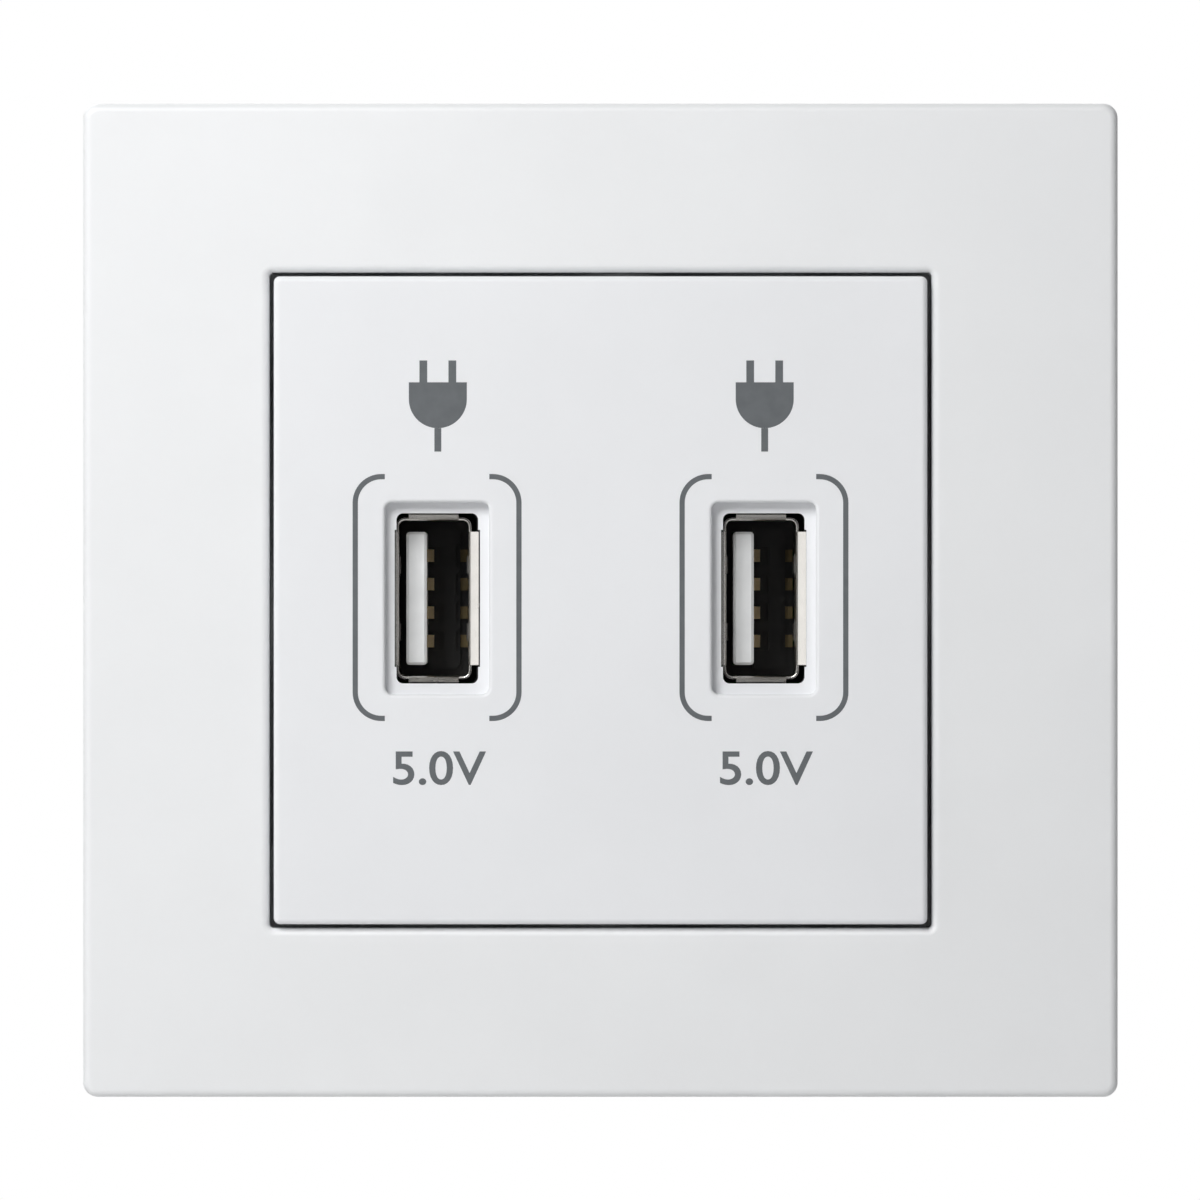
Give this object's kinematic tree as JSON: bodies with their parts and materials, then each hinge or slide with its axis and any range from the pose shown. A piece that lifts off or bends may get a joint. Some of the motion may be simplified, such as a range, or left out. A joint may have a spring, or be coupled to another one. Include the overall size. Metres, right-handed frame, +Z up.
{
  "type": "usb wall socket",
  "caption": "Flush wall socket with upright USB-A ports in a white square centre plate and surround frame, on a steel ring with claws and a closed power supply behind.",
  "frame": {"origin": "middle of the screw slots of the support ring, in the plane of the wall", "axes": "+X right and +Z up as seen from the front, +Y into the wall, so the front faces -Y"},
  "size_m": [0.083, 0.0397, 0.0798],
  "materials": {
    "white_moulding": "satin moulded",
    "white_tongue": "moulded",
    "black_moulding": "moulded",
    "grey_moulding": "moulded",
    "zinc_steel": "zinc plated",
    "bright_steel": "zinc plated",
    "nickel_shell": "nickel plated",
    "gold_contact": "gold flashed",
    "brass_bar": "plain",
    "circuit_board": "solder mask",
    "ferrite": "sintered",
    "winding_tape": "taped",
    "capacitor_can": "sleeved",
    "fuse_glass": "clear"
  },
  "bodies": {
    "insert": {"support_ring": "zinc_steel", "front_cover": "black_moulding", "rear_housing": "grey_moulding", "housing_screws": "bright_steel", "output_board": "circuit_board", "power_board": "circuit_board", "board_link": "black_moulding", "transformer_core": "ferrite", "transformer_bobbin": "black_moulding", "transformer_winding": "winding_tape", "input_capacitor": "capacitor_can", "output_capacitors": "capacitor_can", "bridge_rectifier": "black_moulding", "fuse": "fuse_glass", "control_chips": "black_moulding", "terminal_bars": "brass_bar", "usb_shell_left": "nickel_shell", "contact_block_left": "black_moulding", "contact_tongue_left": "white_tongue", "contact_set_left": "gold_contact", "usb_shell_right": "nickel_shell", "contact_block_right": "black_moulding", "contact_tongue_right": "white_tongue", "contact_set_right": "gold_contact"},
    "frame": {"surround_frame": "white_moulding"},
    "plate": {"centre_plate": "white_moulding"},
    "terminal_cage_left": {"terminal_cage_left": "zinc_steel"},
    "terminal_screw_left": {"terminal_screw_left": "bright_steel"},
    "claw_left": {"claw_left": "zinc_steel"},
    "claw_nut_left": {"claw_nut_left": "zinc_steel"},
    "claw_screw_left": {"claw_screw_left": "bright_steel"},
    "terminal_cage_right": {"terminal_cage_right": "zinc_steel"},
    "terminal_screw_right": {"terminal_screw_right": "bright_steel"},
    "claw_right": {"claw_right": "zinc_steel"},
    "claw_nut_right": {"claw_nut_right": "zinc_steel"},
    "claw_screw_right": {"claw_screw_right": "bright_steel"}
  },
  "joints": [
    {"name": "frame_pull", "type": "slide", "parent": "insert", "child": "frame", "axis": [0, -1, 0], "range_m": [0, 0.012]},
    {"name": "plate_pull", "type": "slide", "parent": "insert", "child": "plate", "axis": [0, -1, 0], "range_m": [0, 0.012]},
    {"name": "claw_screw_left_turn", "type": "hinge", "parent": "insert", "child": "claw_screw_left", "pos_m": [-0.0237, 0, 0], "axis": [0, 1, 0], "range_deg": [0, 4321]},
    {"name": "claw_nut_left_travel", "type": "slide", "parent": "insert", "child": "claw_nut_left", "axis": [0, -1, 0], "range_m": [0, 0.006]},
    {"name": "claw_left_swing", "type": "hinge", "parent": "insert", "child": "claw_left", "pos_m": [-0.027, 0.002, 0], "axis": [0, 0, 1], "range_deg": [0, 18.5]},
    {"name": "terminal_screw_left_turn", "type": "hinge", "parent": "insert", "child": "terminal_screw_left", "pos_m": [-0.007, 0.025, -0.0209], "axis": [0, 0, 1], "range_deg": [0, 2341]},
    {"name": "terminal_cage_left_travel", "type": "slide", "parent": "insert", "child": "terminal_cage_left", "axis": [0, 0, -1], "range_m": [0, 0.00325]},
    {"name": "claw_screw_right_turn", "type": "hinge", "parent": "insert", "child": "claw_screw_right", "pos_m": [0.0237, 0, 0], "axis": [0, 1, 0], "range_deg": [0, 4321]},
    {"name": "claw_nut_right_travel", "type": "slide", "parent": "insert", "child": "claw_nut_right", "axis": [0, -1, 0], "range_m": [0, 0.006]},
    {"name": "claw_right_swing", "type": "hinge", "parent": "insert", "child": "claw_right", "pos_m": [0.027, 0.002, 0], "axis": [0, 0, -1], "range_deg": [0, 18.5]},
    {"name": "terminal_screw_right_turn", "type": "hinge", "parent": "insert", "child": "terminal_screw_right", "pos_m": [0.007, 0.025, -0.0209], "axis": [0, 0, 1], "range_deg": [0, 2341]},
    {"name": "terminal_cage_right_travel", "type": "slide", "parent": "insert", "child": "terminal_cage_right", "axis": [0, 0, -1], "range_m": [0, 0.00325]}
  ],
  "couplings": [
    {"joint": "claw_screw_left_turn", "follows": "claw_nut_left_travel", "rad_per_m": 12566},
    {"joint": "claw_left_swing", "follows": "claw_nut_left_travel", "rad_per_m": 52.36},
    {"joint": "terminal_screw_left_turn", "follows": "terminal_cage_left_travel", "rad_per_m": 12566},
    {"joint": "claw_screw_right_turn", "follows": "claw_nut_right_travel", "rad_per_m": 12566},
    {"joint": "claw_right_swing", "follows": "claw_nut_right_travel", "rad_per_m": 52.36},
    {"joint": "terminal_screw_right_turn", "follows": "terminal_cage_right_travel", "rad_per_m": 12566}
  ]
}
